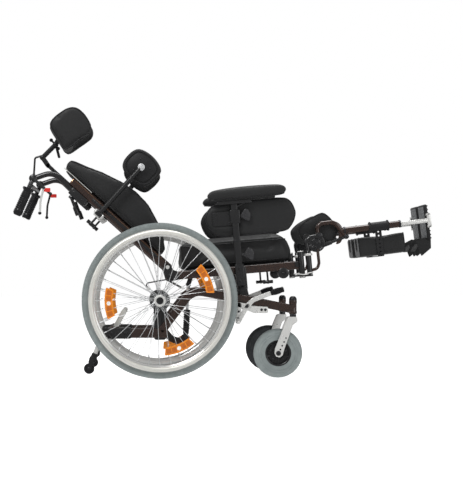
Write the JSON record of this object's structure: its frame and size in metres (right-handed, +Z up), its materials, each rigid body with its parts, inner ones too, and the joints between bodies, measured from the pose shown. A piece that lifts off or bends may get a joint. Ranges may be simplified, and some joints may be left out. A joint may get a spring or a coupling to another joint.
{
  "type": "tilt in space wheelchair",
  "caption": "Reclined tilt in space wheelchair with padded seat, back, side pads and headrest, raised leg supports, spoked rear wheels with handrims and front castors.",
  "frame": {"origin": "floor level under the middle of the overall box", "axes": "+X to the front, +Y to the left of someone sitting in it, +Z up"},
  "size_m": [1.6814, 0.649, 1.0817],
  "materials": {
    "frame_brown": "gloss",
    "black_metal": "satin",
    "bright_alloy": "satin",
    "tyre_rubber": "matte",
    "charcoal_vinyl": "matte",
    "black_plastic": "matte",
    "castor_hub_black": "satin",
    "grip_rubber": "matte",
    "cable_black": "satin"
  },
  "bodies": {
    "base": {"base_frame": "frame_brown", "right_wheel_lock_bracket": "bright_alloy", "right_brake_cable": "cable_black", "left_wheel_lock_bracket": "bright_alloy", "left_brake_cable": "cable_black"},
    "right_wheel": {"right_rear_tyre": "tyre_rubber", "right_rear_wheel": "bright_alloy", "right_handrim": "bright_alloy"},
    "right_castor_swivel": {"right_castor_fork": "bright_alloy"},
    "right_castor_wheel": {"right_castor_tyre": "tyre_rubber", "right_castor_hub": "castor_hub_black"},
    "right_anti_tip": {"right_anti_tip_arm": "black_metal"},
    "right_anti_tip_wheel": {"right_anti_tip_roller": "black_plastic"},
    "right_wheel_lock": {"right_wheel_lock_lever": "bright_alloy"},
    "left_wheel": {"left_rear_tyre": "tyre_rubber", "left_rear_wheel": "bright_alloy", "left_handrim": "bright_alloy"},
    "left_castor_swivel": {"left_castor_fork": "bright_alloy"},
    "left_castor_wheel": {"left_castor_tyre": "tyre_rubber", "left_castor_hub": "castor_hub_black"},
    "left_anti_tip": {"left_anti_tip_arm": "black_metal"},
    "left_anti_tip_wheel": {"left_anti_tip_roller": "black_plastic"},
    "left_wheel_lock": {"left_wheel_lock_lever": "bright_alloy"},
    "seat": {"seat_frame": "frame_brown", "seat_cushion": "charcoal_vinyl"},
    "spring_cylinder": {"tilt_spring_body": "black_metal"},
    "spring_rod": {"tilt_spring_rod": "bright_alloy"},
    "right_armrest": {"right_armrest_post": "black_metal", "right_armrest_pad": "charcoal_vinyl", "right_side_pad": "charcoal_vinyl"},
    "left_armrest": {"left_armrest_post": "black_metal", "left_armrest_pad": "charcoal_vinyl", "left_side_pad": "charcoal_vinyl"},
    "back": {"back_frame": "frame_brown", "back_shell": "black_plastic", "back_cushion": "charcoal_vinyl"},
    "push_handle": {"push_bar": "black_metal", "right_push_grip": "grip_rubber", "left_push_grip": "grip_rubber"},
    "right_brake_lever": {"right_brake_lever": "bright_alloy"},
    "right_lateral": {"right_lateral_arm": "black_metal", "right_lateral_pad": "charcoal_vinyl"},
    "left_brake_lever": {"left_brake_lever": "bright_alloy"},
    "left_lateral": {"left_lateral_arm": "black_metal", "left_lateral_pad": "charcoal_vinyl"},
    "headrest_slide": {"headrest_post": "black_metal"},
    "headrest_arm": {"headrest_link": "black_metal"},
    "headrest": {"headrest_pad": "charcoal_vinyl"},
    "right_hanger": {"right_legrest_hanger": "black_metal", "right_knee_pad": "charcoal_vinyl"},
    "right_leg": {"right_leg_tube": "frame_brown"},
    "right_calf": {"right_calf_pad": "charcoal_vinyl"},
    "right_foot": {"right_foot_tube": "bright_alloy"},
    "right_footrest": {"right_footplate": "black_plastic"},
    "left_hanger": {"left_legrest_hanger": "black_metal", "left_knee_pad": "charcoal_vinyl"},
    "left_leg": {"left_leg_tube": "frame_brown"},
    "left_calf": {"left_calf_pad": "charcoal_vinyl"},
    "left_foot": {"left_foot_tube": "bright_alloy"},
    "left_footrest": {"left_footplate": "black_plastic"}
  },
  "joints": [
    {"name": "right_wheel_spin", "type": "hinge", "parent": "base", "child": "right_wheel", "pos_m": [-0.26323, -0.28, 0.305], "axis": [0, 1, 0], "continuous": true},
    {"name": "right_castor_turn", "type": "hinge", "parent": "base", "child": "right_castor_swivel", "pos_m": [0.26377, -0.232, 0.25], "axis": [0, 0, 1], "continuous": true},
    {"name": "right_castor_spin", "type": "hinge", "parent": "right_castor_swivel", "child": "right_castor_wheel", "pos_m": [0.20377, -0.232, 0.097], "axis": [0, 1, 0], "continuous": true},
    {"name": "right_anti_tip_fold", "type": "hinge", "parent": "base", "child": "right_anti_tip", "pos_m": [-0.48523, -0.232, 0.18], "axis": [0, 1, 0], "range_deg": [0, 90]},
    {"name": "right_anti_tip_spin", "type": "hinge", "parent": "right_anti_tip", "child": "right_anti_tip_wheel", "pos_m": [-0.54023, -0.232, 0.038], "axis": [0, 1, 0], "continuous": true},
    {"name": "right_wheel_lock_turn", "type": "hinge", "parent": "base", "child": "right_wheel_lock", "pos_m": [0.07977, -0.2521, 0.282], "axis": [0, 1, 0], "range_deg": [-30, 5]},
    {"name": "left_wheel_spin", "type": "hinge", "parent": "base", "child": "left_wheel", "pos_m": [-0.26323, 0.28, 0.305], "axis": [0, 1, 0], "continuous": true},
    {"name": "left_castor_turn", "type": "hinge", "parent": "base", "child": "left_castor_swivel", "pos_m": [0.26377, 0.232, 0.25], "axis": [0, 0, 1], "continuous": true},
    {"name": "left_castor_spin", "type": "hinge", "parent": "left_castor_swivel", "child": "left_castor_wheel", "pos_m": [0.20377, 0.232, 0.097], "axis": [0, 1, 0], "continuous": true},
    {"name": "left_anti_tip_fold", "type": "hinge", "parent": "base", "child": "left_anti_tip", "pos_m": [-0.48523, 0.232, 0.18], "axis": [0, 1, 0], "range_deg": [0, 90]},
    {"name": "left_anti_tip_spin", "type": "hinge", "parent": "left_anti_tip", "child": "left_anti_tip_wheel", "pos_m": [-0.54023, 0.232, 0.038], "axis": [0, 1, 0], "continuous": true},
    {"name": "left_wheel_lock_turn", "type": "hinge", "parent": "base", "child": "left_wheel_lock", "pos_m": [0.07977, 0.2521, 0.282], "axis": [0, 1, 0], "range_deg": [-30, 5]},
    {"name": "seat_tilt", "type": "hinge", "parent": "base", "child": "seat", "pos_m": [0.06677, 0, 0.352], "axis": [0, -1, 0], "range_deg": [-5, 20]},
    {"name": "spring_swing", "type": "hinge", "parent": "base", "child": "spring_cylinder", "pos_m": [-0.15723, -0.09, 0.158], "axis": [0, -1, 0], "range_deg": [-4.6, 1.2]},
    {"name": "spring_stroke", "type": "slide", "parent": "spring_cylinder", "child": "spring_rod", "axis": [0.0521, 0, 0.9986], "range_m": [-0.0735, 0.0186]},
    {"name": "right_armrest_height", "type": "slide", "parent": "seat", "child": "right_armrest", "axis": [-0.0872, 0, 0.9962], "range_m": [-0.008, 0.05]},
    {"name": "left_armrest_height", "type": "slide", "parent": "seat", "child": "left_armrest", "axis": [-0.0872, 0, 0.9962], "range_m": [-0.008, 0.05]},
    {"name": "back_recline", "type": "hinge", "parent": "seat", "child": "back", "pos_m": [-0.23245, 0, 0.43686], "axis": [0, -1, 0], "range_deg": [-33, 20]},
    {"name": "push_handle_turn", "type": "hinge", "parent": "back", "child": "push_handle", "pos_m": [-0.76323, 0, 0.787], "axis": [0, 1, 0], "range_deg": [-60, 60]},
    {"name": "right_brake_squeeze", "type": "hinge", "parent": "push_handle", "child": "right_brake_lever", "pos_m": [-0.72123, -0.21, 0.75], "axis": [0, 1, 0], "range_deg": [0, 15], "stiffness_Nm_per_rad": 2, "springref_deg": -5.73},
    {"name": "right_lateral_swing", "type": "hinge", "parent": "back", "child": "right_lateral", "pos_m": [-0.50192, -0.24, 0.6472], "axis": [-0.7431, 0, 0.6691], "range_deg": [-90, 0]},
    {"name": "left_brake_squeeze", "type": "hinge", "parent": "push_handle", "child": "left_brake_lever", "pos_m": [-0.72123, 0.21, 0.75], "axis": [0, 1, 0], "range_deg": [0, 15], "stiffness_Nm_per_rad": 2, "springref_deg": -5.73},
    {"name": "left_lateral_swing", "type": "hinge", "parent": "back", "child": "left_lateral", "pos_m": [-0.50192, 0.24, 0.6472], "axis": [-0.7431, 0, 0.6691], "range_deg": [0, 90]},
    {"name": "headrest_height", "type": "slide", "parent": "back", "child": "headrest_slide", "axis": [-0.7431, 0, 0.6691], "range_m": [-0.05, 0.05]},
    {"name": "headrest_arm_turn", "type": "hinge", "parent": "headrest_slide", "child": "headrest_arm", "pos_m": [-0.74023, 0, 0.886], "axis": [0, 1, 0], "range_deg": [-25, 15]},
    {"name": "headrest_nod", "type": "hinge", "parent": "headrest_arm", "child": "headrest", "pos_m": [-0.68723, 0, 0.94], "axis": [0, 1, 0], "range_deg": [-15, 15]},
    {"name": "right_hanger_swing", "type": "hinge", "parent": "seat", "child": "right_hanger", "pos_m": [0.33412, -0.215, 0.40913], "axis": [-0.0872, 0, 0.9962], "range_deg": [-90, 0]},
    {"name": "right_leg_lift", "type": "hinge", "parent": "right_hanger", "child": "right_leg", "pos_m": [0.36977, -0.19, 0.562], "axis": [0, 1, 0], "range_deg": [0, 75]},
    {"name": "right_calf_turn", "type": "hinge", "parent": "right_leg", "child": "right_calf", "pos_m": [0.57711, -0.19, 0.59639], "axis": [0.9923, 0, 0.1236], "range_deg": [-90, 8]},
    {"name": "right_foot_length", "type": "slide", "parent": "right_leg", "child": "right_foot", "axis": [0.9923, 0, 0.1236], "range_m": [-0.01, 0.06]},
    {"name": "right_footplate_fold", "type": "hinge", "parent": "right_foot", "child": "right_footrest", "pos_m": [0.81726, -0.165, 0.6263], "axis": [-0.1236, 0, 0.9923], "range_deg": [0, 10]},
    {"name": "left_hanger_swing", "type": "hinge", "parent": "seat", "child": "left_hanger", "pos_m": [0.33412, 0.215, 0.40913], "axis": [-0.0872, 0, 0.9962], "range_deg": [0, 90]},
    {"name": "left_leg_lift", "type": "hinge", "parent": "left_hanger", "child": "left_leg", "pos_m": [0.36977, 0.19, 0.562], "axis": [0, 1, 0], "range_deg": [0, 75]},
    {"name": "left_calf_turn", "type": "hinge", "parent": "left_leg", "child": "left_calf", "pos_m": [0.57711, 0.19, 0.59639], "axis": [0.9923, 0, 0.1236], "range_deg": [-8, 90]},
    {"name": "left_foot_length", "type": "slide", "parent": "left_leg", "child": "left_foot", "axis": [0.9923, 0, 0.1236], "range_m": [-0.01, 0.06]},
    {"name": "left_footplate_fold", "type": "hinge", "parent": "left_foot", "child": "left_footrest", "pos_m": [0.81726, 0.165, 0.6263], "axis": [-0.1236, 0, 0.9923], "range_deg": [-10, 0]}
  ],
  "couplings": [
    {"joint": "spring_swing", "follows": "seat_tilt", "ratio": -0.225},
    {"joint": "spring_stroke", "follows": "seat_tilt", "m_per_rad": -0.2097}
  ]
}
